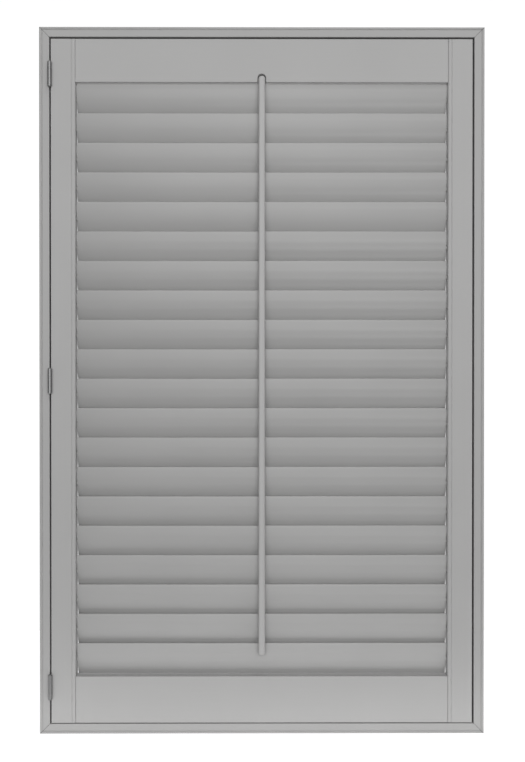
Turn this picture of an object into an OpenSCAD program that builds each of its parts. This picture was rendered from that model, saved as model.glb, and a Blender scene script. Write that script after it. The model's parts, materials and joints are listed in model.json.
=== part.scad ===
// Louvred window shutter: one hinged panel of tilting louvres in a mitred frame.
// The front faces -Y, +X runs to the right and +Z is up. The origin is the middle
// of the frame's bottom face, halfway through the frame's depth.
// It is drawn closed, with the louvres' front edges up.

/* [Frame] */
// Width over the frame
frame_w = 860; // [700:1:1040]
// Height over the frame
frame_h = 1366; // [1140:1:1650]
// Depth of the frame from front to back
frame_depth = 50; // [46:1:60]
// Width of a frame member's face
frame_face = 20; // [18:0.5:26]
// How far the light stop reaches in behind the panel
stop_reach = 12; // [11:0.5:14]
// Gap between the panel's back and the light stop
stop_gap = 1.5; // [1:0.1:3]
// Radius of the frame's outer front edge
frame_edge_r = 3; // [2:0.5:3.5]
// Distance from the frame's outer side to the fine groove in its face
frame_groove_in = 5.5; // [5:0.5:9]

/* [Panel] */
// Thickness of the stiles and rails
panel_t = 27; // [25:0.5:30]
// Width of a stile
stile_w = 47.5; // [42:0.5:60]
// Height of the top rail
top_rail_h = 83.5; // [70:0.5:110]
// Height of the bottom rail
bottom_rail_h = 90; // [90:0.5:120]
// Gap between the panel and the frame on the latch side
latch_gap = 3.3; // [2:0.1:4]
// Gap between the panel and the frame at the top
top_gap = 3.5; // [2:0.1:4]
// Gap between the panel and the frame at the bottom
bottom_gap = 1.5; // [1:0.1:4]
// Width of the bead along a stile's inner edge
bead_w = 7.5; // [5:0.5:8]
// Radius of the bead's corner
bead_r = 3; // [1.5:0.1:3.5]
// Radius that eases every other long edge
ease_r = 1; // [0.5:0.1:1.5]

/* [Louvres] */
// Number of louvres
louvre_count = 20; // [8:1:20]
// Thickness of a louvre at its middle
louvre_t = 11; // [10:0.5:12]
// Radius of a louvre's long edges
louvre_nose_r = 1.8; // [1.5:0.1:2.2]
// How much wider a louvre is than the spacing of the louvres
louvre_lap = 6.5; // [4:0.5:10]
// Gap between a rail and the nearest louvre when that louvre stands upright
louvre_rail_gap = 0.5; // [0.4:0.1:2]
// Gap between a louvre's end and the stile
louvre_end_gap = 2; // [1.8:0.1:3]
// Angle of the closed louvres from upright, front edge up
closed_tilt = 13; // [12.5:0.5:20]

/* [Pivot pins] */
// Radius of a pivot pin
pivot_r = 3; // [2.5:0.1:3.5]
// Radial clearance of a pivot pin in the stile and in the louvre
pivot_fit = 0.05; // [0.03:0.01:0.1]
// Length of a pivot pin inside the stile
pivot_in_stile = 10; // [8:0.5:12]
// Length of a pivot pin inside the louvre
pivot_in_louvre = 25; // [15:1:35]
// Radius of the pin's collar
collar_r = 5; // [4.5:0.1:5.4]
// Gap between the collar and the stile
collar_gap = 0.6; // [0.4:0.1:1]

/* [Tilt rod] */
// Width of the rod
rod_w = 12.6; // [10:0.1:16]
// Depth of the rod from front to back
rod_d = 10.5; // [9:0.5:14]
// Radius of the rod's front edges
rod_front_r = 3; // [2:0.5:4.5]
// Length of rod above the highest staple
rod_above = 8.5; // [8:0.5:20]
// Length of rod below the lowest staple
rod_below = 23.5; // [10:0.5:25]
// Radius of the staple wire
wire_r = 0.6; // [0.5:0.05:0.65]
// Distance from a louvre's front edge to the middle of its staple's crown
staple_reach = 3.45; // [3.4:0.05:4]
// Distance from the middle of the louvre staple's crown to the back of the rod
rod_standoff = 2; // [1.8:0.1:2.5]
// Gap between the rod and each side of its slot in the top rail
rod_slot_side = 2.05; // [1:0.05:4]
// Gap between the rod's top and the top of that slot
rod_slot_above = 6.3; // [2:0.1:8]
// Gap between the rod's back and the back of that slot
rod_slot_behind = 11; // [2:0.5:12]

/* [Hinges] */
// Height of a hinge
hinge_l = 46; // [44:1:60]
// Distance from the frame's top and bottom to the outer hinges' middles
hinge_inset = 92; // [75:1:150]
// Thickness of a hinge leaf
leaf_t = 1.2; // [1:0.1:1.5]
// Depth of a hinge leaf
leaf_depth = 22; // [20:0.5:24]
// Gap between the closed leaves
leaf_gap = 0.3; // [0.2:0.05:1]
// Outer radius of the hinge knuckles
knuckle_r = 4; // [3.5:0.1:4.5]
// Height of each end knuckle
end_knuckle = 14; // [12:0.5:18]
// Gap between neighbouring knuckles, and between the knuckles and the woodwork
knuckle_gap = 0.3; // [0.2:0.05:0.5]
// Radius of the hinge pin
hinge_pin_r = 2; // [1.5:0.1:2.2]
// Radial clearance of the hinge pin
hinge_pin_fit = 0.05; // [0.03:0.01:0.1]

/* [Screws, catches and joints] */
// Radius of a wood screw's shank
screw_r = 1.75; // [1.5:0.05:2]
// Radius of a wood screw's head
screw_head_r = 3; // [2.6:0.1:3.3]
// Length of a wood screw
screw_l = 18; // [14:1:18]
// Radius of the holes for the screws that fix the frame to the wall
fixing_r = 2.5; // [2:0.25:3]
// Distance from the frame's top and bottom to the fixing holes
fixing_inset = 200; // [190:5:300]
// Distance from the frame's top and bottom to the magnetic catches
catch_inset = 150; // [140:5:180]
// Radius of a catch's magnet
magnet_r = 3; // [2.5:0.1:3.5]
// Length of a catch's magnet
magnet_l = 10; // [8:0.5:14]
// Gap between a magnet and its closed strike plate
magnet_gap = 0.3; // [0.2:0.05:0.6]
// Height of a strike plate
strike_h = 30; // [26:1:40]
// Radius of a rail dowel
dowel_r = 4; // [3:0.5:5]
// Length of a rail dowel inside the stile
dowel_in_stile = 22; // [15:0.5:22]
// Length of a rail dowel inside the rail
dowel_in_rail = 35; // [25:1:50]
// Radial clearance of the parts that are glued or screwed into the wood
glue_fit = 0.05; // [0.03:0.01:0.1]

/* [Hidden] */
$fn = 48;
over = 1;      // how far a cutting shape runs past the surface it cuts

// Planes of the frame and the panel
front_y = -frame_depth / 2;
back_y = frame_depth / 2;
panel_back_y = front_y + panel_t;
stop_y = panel_back_y + stop_gap;
inner_x = frame_w / 2 - frame_face;
hinge_gap = 2 * leaf_t + leaf_gap;
panel_x0 = -inner_x + hinge_gap;
panel_x1 = inner_x - latch_gap;
panel_z0 = frame_face + bottom_gap;
panel_z1 = frame_h - frame_face - top_gap;
panel_h = panel_z1 - panel_z0;
open_x0 = panel_x0 + stile_w;
open_x1 = panel_x1 - stile_w;
open_z0 = panel_z0 + bottom_rail_h;
open_z1 = panel_z1 - top_rail_h;
mid_x = (open_x0 + open_x1) / 2;

// The mitred frame's groove and corner keys
groove_r = 1.2;
groove_depth = 0.9;
member_w = frame_face + stop_reach;
key_half_l = 8;
key_end_w = 5;
key_waist_w = 2.5;
key_depth = 12;

// The stile's quirk beside its bead
quirk_r = 1;
quirk_depth = 0.6;

// Louvres: the section is two flat arcs that run into a small round edge
louvre_pitch = (open_z1 - open_z0 - louvre_lap - 2 * louvre_rail_gap) / louvre_count;
louvre_chord = louvre_pitch + louvre_lap;
louvre_x0 = open_x0 + louvre_end_gap;
louvre_x1 = open_x1 - louvre_end_gap;
pivot_y = front_y + panel_t / 2;
nose_at = louvre_chord / 2 - louvre_nose_r;
nose_rise = louvre_t / 2 - louvre_nose_r;
arc_r = (pow(nose_at, 2) / nose_rise + louvre_nose_r + louvre_t / 2) / 2;
tangent_at = nose_at * arc_r / (arc_r - louvre_nose_r);
flat_arc_fn = 720;
louvre_numbers = [1 : louvre_count];

// Tilt rod: each louvre staple's crown turns in a rod staple that loops behind it
crank = louvre_chord / 2 + staple_reach;
crown_y = pivot_y - crank * sin(closed_tilt);
crown_lift = crank * cos(closed_tilt);
rod_back_y = crown_y - rod_standoff;
rod_z1 = pivot_z(1) + crown_lift + rod_above;
rod_z0 = pivot_z(louvre_count) + crown_lift - rod_below;
louvre_staple_half = 3.5;
louvre_staple_leg = 13;
rod_staple_half = 2.2;
rod_staple_behind = 1.5;
rod_staple_leg = 9;
staple_bend_r = 1.1;
rod_arch_extra = 0.5;
rod_back_r = 1;
slot_half_w = rod_w / 2 + rod_slot_side;
slot_y = rod_back_y + rod_slot_behind;
slot_z1 = rod_z1 + rod_slot_above;

// Hinges
hinge_x = -inner_x + hinge_gap / 2;
hinge_y = front_y - knuckle_r - knuckle_gap;
hinge_heights = [hinge_inset, frame_h / 2, frame_h - hinge_inset];
mid_knuckle = [end_knuckle + knuckle_gap, hinge_l - end_knuckle - knuckle_gap];
end_knuckles = [[0, end_knuckle], [hinge_l - end_knuckle, hinge_l]];
tab_bite = 1.2;
hinge_pin_head_r = 3.4;
hinge_pin_head_h = 2;
leaf_screw_y = front_y + leaf_depth * 0.55;
leaf_screw_span = hinge_l * 0.34;

// Screws, catches, dowels
countersink_fit = 0.1;
screw_tip_l = 4;
fixing_head_r = 5;
fixing_sink = 3;
fixing_y = pivot_y;
strike_x = panel_x1 - 4.7;
strike_w = 7.6;
strike_screw_out = strike_h / 2 - 4.5;
magnet_x = strike_x + 1;
magnet_y = panel_back_y + magnet_gap;
dowel_spread = 0.25;
tension_r = 2;
tension_head_r = 3.4;
tension_head_h = 2.5;
tension_sink = 1;
tension_gap = 0.3;
tension_louvres = [ceil(louvre_count / 4), ceil(louvre_count * 3 / 4)];

paint = [0.67, 0.665, 0.66];
steel = [0.62, 0.62, 0.63];
nylon = [0.9, 0.9, 0.88];
beech = [0.76, 0.62, 0.44];

function pivot_z(i) = open_z1 - louvre_rail_gap - louvre_chord / 2 - (i - 1) * louvre_pitch;
function numbered(i) = str("louvre_", i < 10 ? "0" : "", i);
function fittings_of(i) = str(numbered(i), "_fittings");

// ---- shared shapes ----

// What a router takes off a corner at the origin whose wood lies towards +X and +Y
module corner_waste(r) {
    difference() {
        translate([-over, -over]) square(r + over);
        translate([r, r]) circle(r);
    }
}

// A countersunk cross-head wood screw: the head's top is at z = 0 and the tip points down
module wood_screw() {
    difference() {
        rotate_extrude()
            polygon([[0, -screw_l], [screw_r, screw_tip_l - screw_l],
                     [screw_r, -leaf_t], [screw_head_r, 0], [0, 0]]);
        for (turn = [0, 90])
            rotate(turn) cube([screw_head_r, 0.7, 1.4], center = true);
    }
}

// The hole that takes a wood screw: countersunk through a leaf, then a pilot
module screw_hole() {
    translate([0, 0, -leaf_t])
        cylinder(h = leaf_t, r1 = screw_r + countersink_fit, r2 = screw_head_r + countersink_fit);
    translate([0, 0, -screw_l - over])
        cylinder(h = screw_l + over, r = screw_r + glue_fit);
}

// A bent wire staple: the crown's middle is at the origin, along X, and the legs point down
module staple(half, leg) {
    straight = half - staple_bend_r;
    rotate([0, 90, 0]) cylinder(h = 2 * straight, r = wire_r, center = true);
    for (side = [0, 180]) rotate(side) {
        translate([straight, 0, -staple_bend_r]) rotate([90, 0, 0])
            rotate_extrude(angle = 90) translate([staple_bend_r, 0]) circle(wire_r);
        translate([half, 0, -leg]) cylinder(h = leg - staple_bend_r, r = wire_r);
    }
}

// The holes that a staple's two legs are driven into
module staple_holes(half, leg) {
    for (side = [-1, 1])
        translate([side * half, 0, -leg - over]) cylinder(h = leg, r = wire_r + glue_fit);
}

// ---- frame ----

module frame_profile() {
    difference() {
        union() {
            translate([0, front_y]) square([frame_face, frame_depth]);
            translate([0, stop_y]) square([member_w, back_y - stop_y]);
        }
        translate([0, front_y]) corner_waste(frame_edge_r);
        translate([frame_face, front_y]) mirror([1, 0]) corner_waste(ease_r);
        translate([frame_groove_in, front_y + groove_depth - groove_r]) circle(groove_r);
    }
}

// One member along +Z with its outer side at x = 0, mitred at both ends
module mitred_member(length) {
    intersection() {
        linear_extrude(length) frame_profile();
        rotate([90, 0, 0]) translate([0, 0, -frame_depth])
            linear_extrude(2 * frame_depth)
                polygon([[-over, -over], [member_w + over, member_w + over],
                         [member_w + over, length - member_w - over], [-over, length + over]]);
    }
}

// A bow-tie key in the frame's bottom left corner, let into the back across the mitre
module corner_key(fit) {
    translate([member_w / 2 - frame_w / 2, back_y - key_depth - fit, member_w / 2])
        rotate([-90, 0, 0]) rotate(45) linear_extrude(key_depth + 2 * fit)
            polygon([for (side = [1, -1]) each [
                [-side * (key_half_l + fit), -side * (key_end_w + fit)],
                [0, -side * (key_waist_w + fit)],
                [side * (key_half_l + fit), -side * (key_end_w + fit)]]]);
}

module corner_keys(fit) {
    for (lr = [0, 1], tb = [0, 1])
        translate([0, 0, tb * frame_h]) mirror([0, 0, tb]) mirror([lr, 0, 0]) corner_key(fit);
}

// A countersunk fixing hole through the left member, clear of the panel's edge
module fixing_hole() {
    translate([-frame_w / 2 - over, fixing_y, 0]) rotate([0, 90, 0]) {
        cylinder(h = frame_face + 2 * over, r = fixing_r);
        translate([0, 0, frame_face + over - fixing_sink])
            cylinder(h = fixing_sink, r1 = fixing_r, r2 = fixing_head_r);
    }
}

module side_member() {
    difference() {
        translate([-frame_w / 2, 0, 0]) mitred_member(frame_h);
        for (z = [fixing_inset, frame_h - fixing_inset]) translate([0, 0, z]) fixing_hole();
    }
}

module frame_left() {
    color(paint) difference() {
        side_member();
        corner_keys(glue_fit);
        at_frame_screws() screw_hole();
    }
}

module frame_right() {
    color(paint) difference() {
        mirror([1, 0, 0]) side_member();
        corner_keys(glue_fit);
        at_catches() cylinder(h = magnet_l + over, r = magnet_r + glue_fit);
    }
}

module end_member() {
    translate([frame_w / 2, 0, 0]) rotate([0, -90, 0]) mitred_member(frame_w);
}

module frame_bottom() {
    color(paint) difference() {
        end_member();
        corner_keys(glue_fit);
    }
}

module frame_top() {
    color(paint) difference() {
        translate([0, 0, frame_h]) mirror([0, 0, 1]) end_member();
        corner_keys(glue_fit);
    }
}

module frame_corner_keys() {
    color(beech) corner_keys(0);
}

// ---- hinges ----

// One leaf with its plate's low side at x0 and a knuckle over each band of heights
module hinge_leaf(x0, bands) {
    difference() {
        union() {
            translate([x0, front_y, -hinge_l / 2]) cube([leaf_t, leaf_depth, hinge_l]);
            for (band = bands) translate([0, 0, band[0] - hinge_l / 2]) {
                translate([hinge_x, hinge_y, 0]) cylinder(h = band[1] - band[0], r = knuckle_r);
                translate([x0, front_y - knuckle_gap - tab_bite, 0])
                    cube([leaf_t, knuckle_gap + tab_bite + over, band[1] - band[0]]);
            }
        }
        translate([hinge_x, hinge_y, -hinge_l])
            cylinder(h = 2 * hinge_l, r = hinge_pin_r + hinge_pin_fit);
    }
}

// Puts a screw's axis at each hole of a leaf whose outside is at x, driven along -X or +X
module at_leaf_screws(x, towards) {
    for (z = hinge_heights, row = [-1, 0, 1])
        translate([x, leaf_screw_y, z + row * leaf_screw_span])
            rotate([0, -towards * 90, 0]) children();
}

module at_frame_screws() {
    at_leaf_screws(-inner_x + leaf_t, -1) children();
}

module hinge_frame_leaves() {
    color(steel) difference() {
        for (z = hinge_heights) translate([0, 0, z]) hinge_leaf(-inner_x, end_knuckles);
        at_frame_screws() screw_hole();
    }
}

module hinge_panel_leaves() {
    color(steel) difference() {
        for (z = hinge_heights) translate([0, 0, z]) hinge_leaf(panel_x0 - leaf_t, [mid_knuckle]);
        at_leaf_screws(panel_x0 - leaf_t, 1) screw_hole();
    }
}

module hinge_pins() {
    color(steel) for (z = hinge_heights) translate([hinge_x, hinge_y, z]) {
        cylinder(h = hinge_l, r = hinge_pin_r, center = true);
        for (end = [0, 1]) mirror([0, 0, end]) translate([0, 0, hinge_l / 2]) {
            cylinder(h = hinge_pin_head_h / 2, r = hinge_pin_head_r);
            translate([0, 0, hinge_pin_head_h / 2])
                cylinder(h = hinge_pin_head_h / 2, r1 = hinge_pin_head_r, r2 = hinge_pin_r);
        }
    }
}

module frame_screws() {
    color(steel) at_frame_screws() wood_screw();
}

// ---- magnetic catches ----

// Puts a magnet's front at the origin, with the magnet running along +Z, at each catch
module at_catches() {
    for (z = [catch_inset, frame_h - catch_inset])
        translate([magnet_x, magnet_y, z]) rotate([-90, 0, 0]) children();
}

module magnet_catches() {
    color(steel) at_catches() cylinder(h = magnet_l, r = magnet_r);
}

module strike_block(fit) {
    for (z = [catch_inset, frame_h - catch_inset])
        translate([strike_x - strike_w / 2 - fit, panel_back_y - leaf_t, z - strike_h / 2 - fit])
            cube([strike_w + 2 * fit, leaf_t + (fit > 0 ? over : 0), strike_h + 2 * fit]);
}

module at_strike_screws() {
    for (z = [catch_inset, frame_h - catch_inset], side = [-1, 1])
        translate([strike_x, panel_back_y, z + side * strike_screw_out])
            rotate([-90, 0, 0]) children();
}

module strike_plates() {
    color(steel) difference() {
        strike_block(0);
        at_strike_screws() screw_hole();
    }
}

module panel_screws() {
    color(steel) {
        at_leaf_screws(panel_x0 - leaf_t, 1) wood_screw();
        at_strike_screws() wood_screw();
    }
}

// ---- panel woodwork ----

// A stile's section: its outer edge is at x = 0 and its front at y = 0
module stile_profile() {
    difference() {
        square([stile_w, panel_t]);
        for (back = [0, 1]) translate([0, back * panel_t]) mirror([0, back]) {
            corner_waste(ease_r);
            translate([stile_w, 0]) mirror([1, 0]) corner_waste(bead_r);
            translate([stile_w - bead_w, quirk_depth - quirk_r]) circle(quirk_r);
        }
    }
}

module stile() {
    translate([0, front_y, panel_z0]) linear_extrude(panel_h) stile_profile();
}

// Puts a pivot's axis at the end of each louvre at x, running outwards along +Z
module at_pivots(x, towards) {
    for (i = louvre_numbers)
        translate([x, pivot_y, pivot_z(i)]) rotate([0, towards * 90, 0]) children();
}

module pivot_bore() {
    translate([0, 0, -over]) cylinder(h = pivot_in_stile + 2 * over, r = pivot_r + pivot_fit);
}

module stile_left() {
    color(paint) difference() {
        translate([panel_x0, 0, 0]) stile();
        at_pivots(open_x0, -1) pivot_bore();
        at_leaf_screws(panel_x0 - leaf_t, 1) screw_hole();
        all_dowels(glue_fit);
    }
}

module stile_right() {
    color(paint) difference() {
        translate([panel_x1, 0, 0]) mirror([1, 0, 0]) stile();
        at_pivots(open_x1, 1) pivot_bore();
        all_dowels(glue_fit);
        strike_block(glue_fit);
        at_strike_screws() screw_hole();
        at_tension_screws() {
            translate([0, 0, -stile_w]) cylinder(h = stile_w, r = tension_r + glue_fit);
            translate([0, 0, -tension_sink - tension_head_h])
                cylinder(h = tension_sink + tension_head_h + over, r = tension_head_r + glue_fit);
        }
    }
}

// A rail between the stiles with its bottom at z0, its long edges eased
module rail(z0, height) {
    translate([open_x0, front_y, z0]) rotate([90, 0, 90]) linear_extrude(open_x1 - open_x0)
        difference() {
            square([panel_t, height]);
            for (back = [0, 1], up = [0, 1])
                translate([back * panel_t, up * height]) mirror([back, 0]) mirror([0, up])
                    corner_waste(ease_r);
        }
}

// The arched slot in the top rail that takes the closed rod's top
module rod_slot() {
    translate([mid_x, slot_y, 0]) rotate([90, 0, 0]) linear_extrude(panel_t) {
        translate([-slot_half_w, open_z1 - over])
            square([2 * slot_half_w, slot_z1 - slot_half_w - open_z1 + over]);
        translate([0, slot_z1 - slot_half_w]) circle(slot_half_w);
    }
}

module top_rail() {
    color(paint) difference() {
        rail(open_z1, top_rail_h);
        rod_slot();
        all_dowels(glue_fit);
    }
}

module bottom_rail() {
    color(paint) difference() {
        rail(panel_z0, bottom_rail_h);
        all_dowels(glue_fit);
    }
}

// Two dowels at each end of a rail, from the stile into the rail
module rail_end_dowels(x, into_rail, z0, height, fit) {
    for (side = [-1, 1])
        translate([x, pivot_y, z0 + height * (0.5 + side * dowel_spread)])
            rotate([0, into_rail * 90, 0]) translate([0, 0, -dowel_in_stile - fit])
                cylinder(h = dowel_in_stile + dowel_in_rail + 2 * fit, r = dowel_r + fit);
}

module all_dowels(fit) {
    for (rail_at = [[panel_z0, bottom_rail_h], [open_z1, top_rail_h]]) {
        rail_end_dowels(open_x0, 1, rail_at[0], rail_at[1], fit);
        rail_end_dowels(open_x1, -1, rail_at[0], rail_at[1], fit);
    }
}

module rail_dowels() {
    color(beech) all_dowels(0);
}

// Puts a tension screw's axis at the stile's outer edge, the screw running along -Z
module at_tension_screws() {
    for (i = tension_louvres)
        translate([panel_x1, pivot_y, pivot_z(i)]) rotate([0, 90, 0]) children();
}

module tension_screws() {
    reach = stile_w - pivot_in_stile - tension_gap;
    color(steel) at_tension_screws() difference() {
        rotate_extrude()
            polygon([[0, -reach], [tension_r, -reach],
                     [tension_r, -tension_sink - tension_head_h],
                     [tension_head_r, -tension_sink - tension_head_h],
                     [tension_head_r, -tension_sink], [0, -tension_sink]]);
        translate([0, 0, -tension_sink]) cube([2 * tension_head_r + over, 1, 2], center = true);
    }
}

// ---- louvres ----

// A louvre's section: its width runs along Y and its thickness along X
module louvre_section() {
    intersection() {
        translate([arc_r - louvre_t / 2, 0]) circle(arc_r, $fn = flat_arc_fn);
        translate([louvre_t / 2 - arc_r, 0]) circle(arc_r, $fn = flat_arc_fn);
        square([louvre_t, 2 * tangent_at], center = true);
    }
    for (side = [-1, 1]) translate([0, side * nose_at]) circle(louvre_nose_r);
}

// Brings what is drawn on an upright louvre to louvre i: width along Z, front at +Z
module on_louvre(i) {
    translate([0, pivot_y, pivot_z(i)]) rotate([closed_tilt, 0, 0]) children();
}

module louvre(i) {
    color(paint) on_louvre(i) difference() {
        translate([louvre_x0, 0, 0]) rotate([90, 0, 90])
            linear_extrude(louvre_x1 - louvre_x0) louvre_section();
        for (end = [[louvre_x0, 1], [louvre_x1, -1]])
            translate([end[0] - end[1] * over, 0, 0]) rotate([0, end[1] * 90, 0])
                cylinder(h = pivot_in_louvre + 2 * over, r = pivot_r + pivot_fit);
        translate([mid_x, 0, crank]) staple_holes(louvre_staple_half, louvre_staple_leg);
    }
}

// A pivot pin whose collar rests on the louvre's end, at the origin, and whose tip is at +Z
module pivot_pin() {
    translate([0, 0, -pivot_in_louvre])
        cylinder(h = pivot_in_louvre + louvre_end_gap + pivot_in_stile, r = pivot_r);
    cylinder(h = louvre_end_gap - collar_gap, r = collar_r);
}

module louvre_fittings(i) {
    color(nylon) on_louvre(i) {
        translate([louvre_x0, 0, 0]) rotate([0, -90, 0]) pivot_pin();
        translate([louvre_x1, 0, 0]) rotate([0, 90, 0]) pivot_pin();
    }
    color(steel) on_louvre(i)
        translate([mid_x, 0, crank]) staple(louvre_staple_half, louvre_staple_leg);
}

// ---- tilt rod ----

// Puts a rod staple's crown behind each louvre staple, its legs running forwards
module at_rod_staples() {
    for (i = louvre_numbers)
        translate([mid_x, crown_y + rod_staple_behind, pivot_z(i) + crown_lift])
            rotate([-90, 0, 0]) rotate(90) children();
}

// The rod's section from above, with its back at y = 0
module rod_section() {
    difference() {
        translate([-rod_w / 2, -rod_d]) square([rod_w, rod_d]);
        for (side = [0, 1]) mirror([side, 0]) {
            translate([-rod_w / 2, -rod_d]) corner_waste(rod_front_r);
            translate([-rod_w / 2, 0]) mirror([0, 1]) corner_waste(rod_back_r);
        }
    }
}

module tilt_rod() {
    arch_r = rod_w / 2 + rod_arch_extra;
    color(paint) difference() {
        intersection() {
            translate([mid_x, rod_back_y, rod_z0]) linear_extrude(rod_z1 - rod_z0) rod_section();
            translate([mid_x, rod_back_y + over, 0]) rotate([90, 0, 0])
                linear_extrude(rod_d + 2 * over) {
                    translate([-rod_w, rod_z0 - over])
                        square([2 * rod_w, rod_z1 - arch_r - rod_z0 + over]);
                    translate([0, rod_z1 - arch_r]) circle(arch_r);
                }
        }
        at_rod_staples() staple_holes(rod_staple_half, rod_staple_leg);
    }
}

module rod_staples() {
    color(steel) at_rod_staples() staple(rod_staple_half, rod_staple_leg);
}

// ---- nodes ----

frame_left();
frame_right();
frame_top();
frame_bottom();
frame_corner_keys();
hinge_frame_leaves();
hinge_pins();
frame_screws();
magnet_catches();
stile_left();
stile_right();
top_rail();
bottom_rail();
rail_dowels();
hinge_panel_leaves();
panel_screws();
strike_plates();
tension_screws();
tilt_rod();
rod_staples();
for (i = louvre_numbers) {
    louvre(i);
    louvre_fittings(i);
}
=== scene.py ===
# %% [markdown]
# # A painted louvred shutter
#
# The construction comes from the CAD model, piece by piece, already in its place and in metres. This
# notebook gives each piece its finish, softens the edges that a spray coat would soften, and sets up the
# studio.

# %% Load the construction
import json
import math

import bpy
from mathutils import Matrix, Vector


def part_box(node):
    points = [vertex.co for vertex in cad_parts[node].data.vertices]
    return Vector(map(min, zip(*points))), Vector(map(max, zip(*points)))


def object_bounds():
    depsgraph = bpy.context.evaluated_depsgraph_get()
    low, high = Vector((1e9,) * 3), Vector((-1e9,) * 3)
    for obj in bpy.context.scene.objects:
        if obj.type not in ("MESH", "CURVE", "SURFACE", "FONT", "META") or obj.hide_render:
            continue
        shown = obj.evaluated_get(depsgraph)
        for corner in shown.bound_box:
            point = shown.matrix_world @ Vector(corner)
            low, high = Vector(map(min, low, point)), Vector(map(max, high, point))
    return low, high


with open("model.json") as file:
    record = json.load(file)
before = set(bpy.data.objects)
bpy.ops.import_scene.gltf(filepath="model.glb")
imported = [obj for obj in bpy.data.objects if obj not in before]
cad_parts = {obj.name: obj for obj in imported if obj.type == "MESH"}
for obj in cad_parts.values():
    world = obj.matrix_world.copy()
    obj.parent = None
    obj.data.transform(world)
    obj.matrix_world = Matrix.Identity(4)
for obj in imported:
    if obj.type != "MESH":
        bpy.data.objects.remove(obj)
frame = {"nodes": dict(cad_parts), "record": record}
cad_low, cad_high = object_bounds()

MM = 0.001
nodes = frame["nodes"]
centre = (cad_low + cad_high) / 2

# %% [markdown]
# ## Sorting the pieces by finish
#
# A shutter maker sprays the woodwork before the metal goes on, and leaves hinges and fittings bare. The
# record says which slot each piece belongs to. It doesn't say which way the wood runs. The grain shows
# faintly through the paint along a piece's length, so the longest side of each piece's box decides.

# %% Group the pieces
slot_of = {part["node"]: part["material_slot"] for part in frame["record"]["subparts"]}


def runs_upright(name):
    """True for a piece whose longest side is its height."""
    low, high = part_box(name)
    size = high - low
    return size.z > max(size.x, size.y)


def pieces_in(slot_name):
    """The names of the pieces that take their finish from one slot."""
    return [name for name in nodes if slot_of[name] == slot_name]


woodwork = pieces_in("painted_wood")
upright = [name for name in woodwork if runs_upright(name)]
level = [name for name in woodwork if not runs_upright(name)]
print(f"painted wood: {len(upright)} upright and {len(level)} level pieces")

# %% [markdown]
# ## A small language for shaders
#
# Blender mixes a surface from nodes, and a sum of two textures takes a Math node and two links. Written
# out, that hides the idea. `Value` wraps a node's output so that `0.36 + 0.10 * stipple` reads as it is
# meant, and adds the Math nodes by itself. `Finish` holds one material, and its `node` method adds any
# other node.


# %% Wrap a socket so that sums add Math nodes
class Value:
    """A number that varies over a surface: the output of a node in one finish."""

    def __init__(self, finish, socket):
        self.finish = finish
        self.socket = socket

    def _with(self, operation, first, second):
        return self.finish.node("ShaderNodeMath", {"operation": operation}, {0: first, 1: second})

    def __add__(self, other):
        return self._with("ADD", self, other)

    def __radd__(self, other):
        return self._with("ADD", other, self)

    def __sub__(self, other):
        return self._with("SUBTRACT", self, other)

    def __rsub__(self, other):
        return self._with("SUBTRACT", other, self)

    def __mul__(self, other):
        return self._with("MULTIPLY", self, other)

    def __rmul__(self, other):
        return self._with("MULTIPLY", other, self)

    def __abs__(self):
        return self.finish.node("ShaderNodeMath", {"operation": "ABSOLUTE"}, {0: self})

    def below(self, limit):
        """1 where the value is less than the limit, 0 elsewhere."""
        return self._with("LESS_THAN", self, limit)


print("a Value can be added to, taken from, multiplied and compared")


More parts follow.
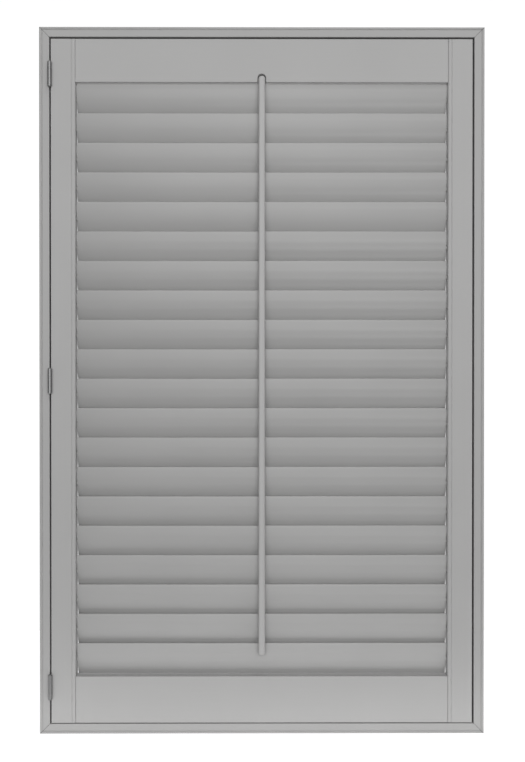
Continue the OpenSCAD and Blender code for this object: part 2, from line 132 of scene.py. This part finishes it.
# %% Hold one material and add nodes to it
class Finish:
    """One material, with a Principled surface that starts plain."""

    def __init__(self, name, **constants):
        self.material = bpy.data.materials.new(name)
        self.material.use_nodes = True
        self.tree = self.material.node_tree
        self.tree.nodes.clear()
        self.surface = self.tree.nodes.new("ShaderNodeBsdfPrincipled")
        shown = self.tree.nodes.new("ShaderNodeOutputMaterial")
        self.tree.links.new(self.surface.outputs[0], shown.inputs["Surface"])
        for socket_name, constant in constants.items():
            self.set(socket_name.replace("_", " "), constant)

    def feed(self, socket, value):
        """Links a socket to a Value, or sets it to a number, a colour or a vector."""
        if isinstance(value, Value):
            self.tree.links.new(value.socket, socket)
        else:
            socket.default_value = value

    def set(self, socket_name, value):
        """Feeds one socket of the surface."""
        self.feed(self.surface.inputs[socket_name], value)

    def node(self, kind, settings=None, sockets=None, output=0):
        """Adds a node of that kind, sets it, feeds its sockets and gives one of its outputs."""
        made = self.tree.nodes.new(kind)
        for setting, value in (settings or {}).items():
            setattr(made, setting, value)
        for socket, value in (sockets or {}).items():
            self.feed(made.inputs[socket], value)
        return Value(self, made.outputs[output])

    def place(self, *stretch):
        """Where a point is on the piece, in metres, with each axis stretched for a texture."""
        point = self.node("ShaderNodeTexCoord", output="Object")
        return self.node("ShaderNodeMapping", None, {"Vector": point, "Scale": stretch})

    def axis(self, letter):
        """Where a point is along one axis of the piece, in metres."""
        point = self.node("ShaderNodeTexCoord", output="Object")
        return self.node("ShaderNodeSeparateXYZ", None, {"Vector": point}, output=letter)

    def noise(self, stretch, detail=2.0, roughness=0.5):
        """Smooth random values around 0.5, with so many lumps a metre along each axis."""
        sockets = {
            "Vector": self.place(*stretch),
            "Scale": 1.0,
            "Detail": detail,
            "Roughness": roughness,
        }
        return self.node("ShaderNodeTexNoise", None, sockets)

    def ramp(self, value, stops):
        """Turns a value into a grey or a colour by two stops of (position, colour)."""
        made = self.node("ShaderNodeValToRGB", None, {"Fac": value})
        for element, (position, colour) in zip(made.socket.node.color_ramp.elements, stops):
            element.position = position
            element.color = colour
        return made

    def mix(self, share, first, second):
        """A colour between two colours: the first where the share is 0, the second where it is 1."""
        settings = {"data_type": "RGBA", "blend_type": "MIX"}
        return self.node("ShaderNodeMix", settings, {0: share, 6: first, 7: second}, output=2)

    def relief(self, height, depth):
        """Turns a height from 0 to 1 into a bump that is so many metres deep."""
        self.set("Normal", self.node("ShaderNodeBump", None, {"Height": height, "Distance": depth}))


print("a Finish has noise, ramps, mixes and relief")

# %% [markdown]
# ## Greys by one number
#
# Nearly all of a shutter is grey, and greys are easiest to compare by one brightness. No real finish
# keeps exactly to its tone, so most are given as a tone and the share of it by which they stray.


# %% Name the greys
def grey(tone, warmth=0.0):
    """A grey of one brightness, a touch warmer than neutral where warmth is above 0."""
    return (tone * (1 + warmth), tone, tone * (1 - warmth), 1.0)


def greys_around(tone, spread, warmth=0.0):
    """The darkest and the lightest grey of a finish that strays from its tone by a share of it."""
    return grey(tone * (1 - spread), warmth), grey(tone * (1 + spread), warmth)


BLACK = grey(0.0)
WHITE = grey(1.0)
print("white is", WHITE)

# %% [markdown]
# ## Satin paint on wood
#
# The woodwork is primed, sanded and sprayed in a satin grey. Seen close, such a coat is never flat: the
# spray dries with a fine stipple, called orange peel, about a millimetre across and some hundredths of a
# millimetre deep. Under it the grain still shows as faint streaks along each piece, and the tone drifts
# a little over each piece. All three are noise: one even, one stretched along the grain, one very large.
# Real depth would need millions of triangles, so the first two go into bump and roughness. The tilt rod
# gets a lighter copy of the same paint. That is painted light: it stands in for the light the rod
# catches.

# %% Choose the paint's tones and textures
PAINT_TONE = 0.36
# The rod's tone is painted light: the panel's paint made lighter.
ROD_LIT_TONE = 0.385
PAINT_WARMTH = 0.006
TONE_DRIFT = 0.05
PAINT_SPECULAR = 0.45
PAINT_ROUGHNESS = 0.36
STIPPLE_ROUGHNESS = 0.10
GRAIN_ROUGHNESS = 0.06
GRAIN_SHARE = 0.3
COAT_DEPTH = 0.06 * MM
STIPPLE_PER_M = 700.0
GRAIN_ALONG_PER_M = 9.0
GRAIN_ACROSS_PER_M = 420.0
DRIFT_PER_M = 7.0
CRACK_TONE = 0.09
print(f"paint: {1 / STIPPLE_PER_M / MM:.1f} mm stipple, {COAT_DEPTH / MM:.2f} mm deep")


# %% Mix the wood paint
def satin_paint(name, grain_upright, tone=PAINT_TONE, crack=None):
    """Satin spray paint over primed wood, with the grain along X or up Z, and dark where it cracks."""
    paint = Finish(name, Specular_IOR_Level=PAINT_SPECULAR)
    along = GRAIN_ALONG_PER_M
    across = GRAIN_ACROSS_PER_M
    grain_scale = (across, across, along) if grain_upright else (along, across, across)
    stipple = paint.noise((STIPPLE_PER_M,) * 3, detail=1.5)
    grain = paint.noise(grain_scale, detail=3.0, roughness=0.6)
    drift = paint.noise((DRIFT_PER_M,) * 3, detail=1.0)
    cloud = (1 - GRAIN_SHARE) * drift + GRAIN_SHARE * grain
    colour = paint.mix(cloud, *greys_around(tone, TONE_DRIFT, PAINT_WARMTH))
    if crack:
        colour = paint.mix(crack(paint), colour, grey(CRACK_TONE))
    paint.set("Base Color", colour)
    paint.set("Roughness", PAINT_ROUGHNESS + STIPPLE_ROUGHNESS * stipple + GRAIN_ROUGHNESS * grain)
    paint.relief((1 - GRAIN_SHARE) * stipple + GRAIN_SHARE * grain, COAT_DEPTH)
    return paint.material


upright_paint = satin_paint("satin_paint_upright", True)
level_paint = satin_paint("satin_paint_level", False)
# The rod's paint is painted light: a brighter copy of the panel's paint.
rod_lit_paint = satin_paint("satin_paint_rod_painted_light", True, ROD_LIT_TONE)
print("mixed", upright_paint.name + ",", level_paint.name, "and", rod_lit_paint.name)

# %% [markdown]
# ## The hairline at the frame's mitres
#
# Wood moves with the seasons, and paint doesn't bridge a mitre for long: it cracks in a hairline from
# the frame's outer corner to its inner one. A point lies on a mitre where it is as far from the frame's
# nearer side as from its nearer end, so the difference of those two distances tells how far off the
# joint it is. The frame gets a darker copy of the panel's paint, which is painted shade for the frame.

# %% Mix the frame's paint
# The frame's tone is painted shade: the panel's paint made darker.
FRAME_SHADED_TONE = 0.345
CRACK_REACH = 0.5 * MM
frame_half = (cad_high - cad_low) / 2


def mitre_crack(paint):
    """1 on the hairlines at the four mitres, 0 elsewhere."""
    from_side = frame_half.x - abs(paint.axis("X") - centre.x)
    from_end = frame_half.z - abs(paint.axis("Z") - centre.z)
    return abs(from_side - from_end).below(CRACK_REACH)


jamb_shaded_paint = satin_paint("satin_paint_jambs_painted_shade", True, FRAME_SHADED_TONE, mitre_crack)
head_shaded_paint = satin_paint("satin_paint_head_and_sill_painted_shade", False, FRAME_SHADED_TONE, mitre_crack)
print("mixed", jamb_shaded_paint.name, "and", head_shaded_paint.name)

# %% [markdown]
# ## Satin-plated hinges
#
# The hinges are steel, plated and brushed to a satin sheen. A round knuckle in that finish shows one
# bright line down its middle, where it mirrors the room, and dark flanks, where it mirrors the woodwork
# beside it. Brushing leaves fine scratches round the knuckle, so the noise is stretched sideways and
# squeezed in height.

# %% Mix the hinge metal
HINGE_TONE = 0.24
HINGE_DRIFT = 0.1
HINGE_ROUGHNESS = 0.36
BRUSH_ROUGHNESS = 0.14
SCRATCH_DEPTH = 0.01 * MM
BRUSH_ACROSS_PER_M = 120.0
BRUSH_UP_PER_M = 2600.0
hinge_metal = Finish("satin_plated_steel", Metallic=1.0)
brushing = hinge_metal.noise((BRUSH_ACROSS_PER_M, BRUSH_ACROSS_PER_M, BRUSH_UP_PER_M), detail=3.0)
hinge_metal.set("Base Color", hinge_metal.mix(brushing, *greys_around(HINGE_TONE, HINGE_DRIFT)))
hinge_metal.set("Roughness", HINGE_ROUGHNESS + BRUSH_ROUGHNESS * brushing)
hinge_metal.relief(brushing, SCRATCH_DEPTH)
print("mixed", hinge_metal.material.name)

# %% [markdown]
# ## Bright zinc
#
# Screws, strike plates, magnets' cups and staples are zinc-plated steel: a metal with a faint bluish
# cast and a cloudy sheen. Metallic 1 with a roughness that wanders between polished and matt gives the
# clouds.

# %% Mix the zinc
ZINC_DULL = (0.50, 0.51, 0.53, 1.0)
ZINC_BRIGHT = (0.68, 0.68, 0.69, 1.0)
ZINC_ROUGHNESS = 0.22
CLOUD_ROUGHNESS = 0.22
CLOUD_PER_M = 260.0
SCRATCH_ACROSS_PER_M = 2400.0
SCRATCH_UP_PER_M = 300.0
zinc = Finish("bright_zinc", Metallic=1.0)
zinc_cloud = zinc.noise((CLOUD_PER_M,) * 3, detail=3.0)
zinc_scratch = zinc.noise((SCRATCH_ACROSS_PER_M, SCRATCH_ACROSS_PER_M, SCRATCH_UP_PER_M))
zinc.set("Base Color", zinc.mix(zinc_cloud, ZINC_DULL, ZINC_BRIGHT))
zinc.set("Roughness", ZINC_ROUGHNESS + CLOUD_ROUGHNESS * zinc_cloud)
zinc.relief(zinc_scratch, SCRATCH_DEPTH)
print("mixed", zinc.material.name)

# %% [markdown]
# ## Nylon pins with a steel staple
#
# Each louvre's fittings are one group: a grey nylon pin at either end and a bent wire staple in the
# middle. Two materials would need two pieces, so one material looks at how far a point is from the
# tilt rod's middle, where only the staple is, and turns to metal there.

# %% Mix the fittings
NYLON_DARK = (0.42, 0.42, 0.41, 1.0)
NYLON_LIGHT = (0.48, 0.48, 0.47, 1.0)
WIRE_COLOUR = (0.62, 0.62, 0.63, 1.0)
NYLON_ROUGHNESS = 0.38
MOULD_ROUGHNESS = 0.10
WIRE_POLISH = 0.14
MOULD_PER_M = 500.0
MOULD_DEPTH = 0.01 * MM
STAPLE_REACH = 15 * MM
rod_low, rod_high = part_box("tilt_rod")
rod_x = (rod_low.x + rod_high.x) / 2
fittings = Finish("nylon_and_wire")
is_wire = abs(fittings.axis("X") - rod_x).below(STAPLE_REACH)
mould_cloud = fittings.noise((MOULD_PER_M,) * 3)
nylon_tone = fittings.mix(mould_cloud, NYLON_DARK, NYLON_LIGHT)
fittings.set("Base Color", fittings.mix(is_wire, nylon_tone, WIRE_COLOUR))
fittings.set("Metallic", is_wire)
fittings.set("Roughness", NYLON_ROUGHNESS + MOULD_ROUGHNESS * mould_cloud - WIRE_POLISH * is_wire)
fittings.relief(mould_cloud, MOULD_DEPTH)
print("mixed", fittings.material.name)

# %% [markdown]
# ## Bare beech
#
# The dowels and the bow-tie keys in the frame's back are unpainted beech: a warm buff with short darker
# flecks along the grain, which lies level. A noise stretched along the grain gives the figure, and a
# second, much finer one, pushed through a steep ramp, gives the flecks.

# %% Mix the beech
BEECH_DARK = (0.46, 0.30, 0.16, 1.0)
BEECH_LIGHT = (0.66, 0.47, 0.29, 1.0)
FLECK_COLOUR = (0.30, 0.17, 0.08, 1.0)
FLECK_STRENGTH = 0.45
FLECK_STOPS = [(0.60, BLACK), (0.68, WHITE)]
BEECH_SPECULAR = 0.35
BEECH_ROUGHNESS = 0.55
FIGURE_ROUGHNESS = 0.15
FIGURE_DEPTH = 0.05 * MM
FIGURE_PER_M = (60.0, 60.0, 420.0)
FLECKS_PER_M = (300.0, 300.0, 2600.0)
beech = Finish("bare_beech", Specular_IOR_Level=BEECH_SPECULAR)
figure = beech.noise(FIGURE_PER_M, detail=3.0, roughness=0.6)
fleck = beech.ramp(beech.noise(FLECKS_PER_M, detail=1.0), FLECK_STOPS)
beech_tone = beech.mix(figure, BEECH_DARK, BEECH_LIGHT)
beech.set("Base Color", beech.mix(FLECK_STRENGTH * fleck, beech_tone, FLECK_COLOUR))
beech.set("Roughness", BEECH_ROUGHNESS + FIGURE_ROUGHNESS * figure)
beech.relief(figure, FIGURE_DEPTH)
print("mixed", beech.material.name)

# %% [markdown]
# ## Putting the finishes on
#
# Each piece from the CAD model has one material slot, so a finish goes on by assigning it there. The
# mesh isn't touched.

# %% Assign the finishes
slot_finish = {
    "satin_steel": hinge_metal.material,
    "zinc_steel": zinc.material,
    "nylon": fittings.material,
    "beech": beech.material,
}
# The rod's lighter paint is painted light, and the frame's darker paint is painted shade.
own_paint = {
    "tilt_rod": rod_lit_paint,
    "frame_left": jamb_shaded_paint,
    "frame_right": jamb_shaded_paint,
    "frame_top": head_shaded_paint,
    "frame_bottom": head_shaded_paint,
}
for name, piece in nodes.items():
    if name in own_paint:
        piece.material_slots[0].material = own_paint[name]
    elif slot_of[name] == "painted_wood":
        piece.material_slots[0].material = upright_paint if name in upright else level_paint
    else:
        piece.material_slots[0].material = slot_finish[slot_of[name]]
print("finished", len(nodes), "pieces")

# %% [markdown]
# ## Softened edges
#
# No sprayed edge is sharp: sanding takes off a few tenths of a millimetre, and the paint rounds what is
# left. Where two pieces meet flush, as at the frame's mitres, two such edges make the fine groove that
# shows the joint. A Weld modifier joins the corners that lie on each other, and a Bevel modifier rounds
# the edges and moves nothing else. It skips shallow angles, so the louvres' curved faces stay as they
# are. Its overlap clamp is off: the shortest edge of a piece, a facet of a small hole, would otherwise
# set the width for all.

# %% Round the edges
EDGE_ROUNDING = 0.35 * MM
EDGE_STEPS = 2
SHARP_FROM = math.radians(35)
WELD_REACH = 0.002 * MM


def round_edges(piece, width):
    """Rounds a piece's sharp edges by a width."""
    weld = piece.modifiers.new("weld", "WELD")
    weld.merge_threshold = WELD_REACH
    bevel = piece.modifiers.new("soft_edges", "BEVEL")
    bevel.width = width
    bevel.segments = EDGE_STEPS
    bevel.limit_method = "ANGLE"
    bevel.angle_limit = SHARP_FROM
    bevel.harden_normals = True
    bevel.use_clamp_overlap = False


for name in woodwork:
    round_edges(nodes[name], EDGE_ROUNDING)
print("rounded the edges of", len(woodwork), "pieces by", EDGE_ROUNDING / MM, "mm")

# %% [markdown]
# ## The studio floor and backdrop
#
# A shutter is fixed in a window, but here it stands on its sill edge on a plain pale floor. The floor is
# a white table that glows a little from inside, as a light table does. It reaches only a short way in
# front of the shutter, so that it throws its light up at the lowest rail and louvres only. Far behind
# hangs a white sheet that glows evenly, which keeps the surroundings white without lighting the front.

# %% Lay the floor and hang the backdrop
FLOOR_SIDE = 1.7
FLOOR_FRONT = -0.25
FLOOR_BACK = 0.8
BACKDROP_Y = 6.0
BACKDROP_SIDE = 14.0
BACKDROP_LOW = -8.0
BACKDROP_HIGH = 10.0
BACKDROP_GLOW = 1.0
FLOOR_GLOW = 0.52
FLOOR_DARK = 0.88
FLOOR_LIGHT = 0.92
FLOOR_ROUGHNESS = 0.9
FLOOR_CLOUD_PER_M = 3.0


def sheet(name, corners, material):
    """A flat four-cornered sheet of the studio."""
    mesh = bpy.data.meshes.new(name)
    mesh.from_pydata(corners, [], [(0, 1, 2, 3)])
    mesh.materials.append(material)
    made = bpy.data.objects.new(name, mesh)
    bpy.context.scene.collection.objects.link(made)
    return made


floor_paint = Finish("pale_floor", Roughness=FLOOR_ROUGHNESS)
floor_cloud = floor_paint.noise((FLOOR_CLOUD_PER_M,) * 3)
floor_paint.set("Base Color", floor_paint.mix(floor_cloud, grey(FLOOR_DARK), grey(FLOOR_LIGHT)))
floor_paint.set("Emission Color", WHITE)
floor_paint.set("Emission Strength", FLOOR_GLOW)
ground = cad_low.z
floor_corners = [(-FLOOR_SIDE, FLOOR_FRONT, ground), (FLOOR_SIDE, FLOOR_FRONT, ground)]
floor_corners += [(FLOOR_SIDE, FLOOR_BACK, ground), (-FLOOR_SIDE, FLOOR_BACK, ground)]
floor = sheet("studio_floor", floor_corners, floor_paint.material)

glow = Finish("glowing_sheet", Base_Color=BLACK, Emission_Color=WHITE)
glow.set("Emission Strength", BACKDROP_GLOW)
low_edge = [(BACKDROP_SIDE, BACKDROP_Y, BACKDROP_LOW), (-BACKDROP_SIDE, BACKDROP_Y, BACKDROP_LOW)]
high_edge = [(-BACKDROP_SIDE, BACKDROP_Y, BACKDROP_HIGH), (BACKDROP_SIDE, BACKDROP_Y, BACKDROP_HIGH)]
sheet("backdrop", low_edge + high_edge, glow.material)
print("floor at", round(ground / MM, 1), "mm, backdrop", BACKDROP_Y, "m behind")

# %% [markdown]
# ## Light
#
# The surroundings give only a dim even light. Two wide soft lights stand five metres in front, the lower
# one level with the shutter's upper half, the other a metre higher and a little to the right. They keep
# the louvres' faces clear right down to the next louvre, yet leave the gaps round the panel dark,
# because they only graze their walls. The higher one shades each louvre a little darker towards its
# lower edge, which faces down. A small light overhead draws the bright line along each louvre's upper
# edge.

# %% Light the studio
WORLD_LIGHT = 0.28
SOFT_SIZE = (7.0, 3.6)
HIGH_POWER = 93.0
HIGH_PLACE = Vector((0.6, -5.0, 2.2))
LOW_POWER = 111.0
LOW_PLACE = Vector((-0.2, -5.0, 1.1))
TOP_SIZE = (1.8, 1.4)
TOP_POWER = 30.0
TOP_PLACE = Vector((0.5, -1.3, 4.0))
scene = bpy.context.scene
world = bpy.data.worlds.new("dim_surroundings")
world.use_nodes = True
background = world.node_tree.nodes["Background"]
background.inputs["Color"].default_value = WHITE
background.inputs["Strength"].default_value = WORLD_LIGHT
scene.world = world


def soft_light(name, place, target, size, power):
    """Hangs a soft light of so many metres by so many, that faces a point."""
    lamp = bpy.data.lights.new(name, "AREA")
    lamp.shape = "RECTANGLE"
    lamp.size, lamp.size_y = size
    lamp.energy = power
    holder = bpy.data.objects.new(name, lamp)
    holder.location = place
    holder.rotation_euler = (target - place).to_track_quat("-Z", "Y").to_euler()
    scene.collection.objects.link(holder)


soft_light("high_light", HIGH_PLACE, centre, SOFT_SIZE, HIGH_POWER)
soft_light("low_light", LOW_PLACE, centre, SOFT_SIZE, LOW_POWER)
soft_light("top_light", TOP_PLACE, centre, TOP_SIZE, TOP_POWER)
scene.view_settings.view_transform = "Standard"
print("lit by the surroundings and", len(bpy.data.lights), "soft lights")

# %% [markdown]
# ## The camera
#
# The shutter is seen straight on, as a catalogue shows it. The camera stands two metres off with a
# normal lens, a touch above and to the left of the middle of the shutter's face, and looks at that
# middle.

# %% Place the camera
LENS_MM = 50.0
DISTANCE = 2.0445
CAMERA_LEFT = 7 * MM
CAMERA_UP = 13 * MM
AIM_RIGHT = 1 * MM
sill = next(mount for mount in frame["record"]["mounts"] if mount["name"] == "sill")
face_y = min(corner.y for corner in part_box("frame_left"))
middle = Vector((sill["pos_m"][0], face_y, centre.z))
aim = middle + Vector((AIM_RIGHT, 0, 0))
lens = bpy.data.cameras.new("catalogue_camera")
lens.lens = LENS_MM
camera = bpy.data.objects.new("catalogue_camera", lens)
camera.location = middle + Vector((-CAMERA_LEFT, -DISTANCE, CAMERA_UP))
camera.rotation_euler = (aim - camera.location).to_track_quat("-Z", "Y").to_euler()
scene.collection.objects.link(camera)
bpy.context.scene.camera = camera
print("camera at", [round(value, 3) for value in camera.location])
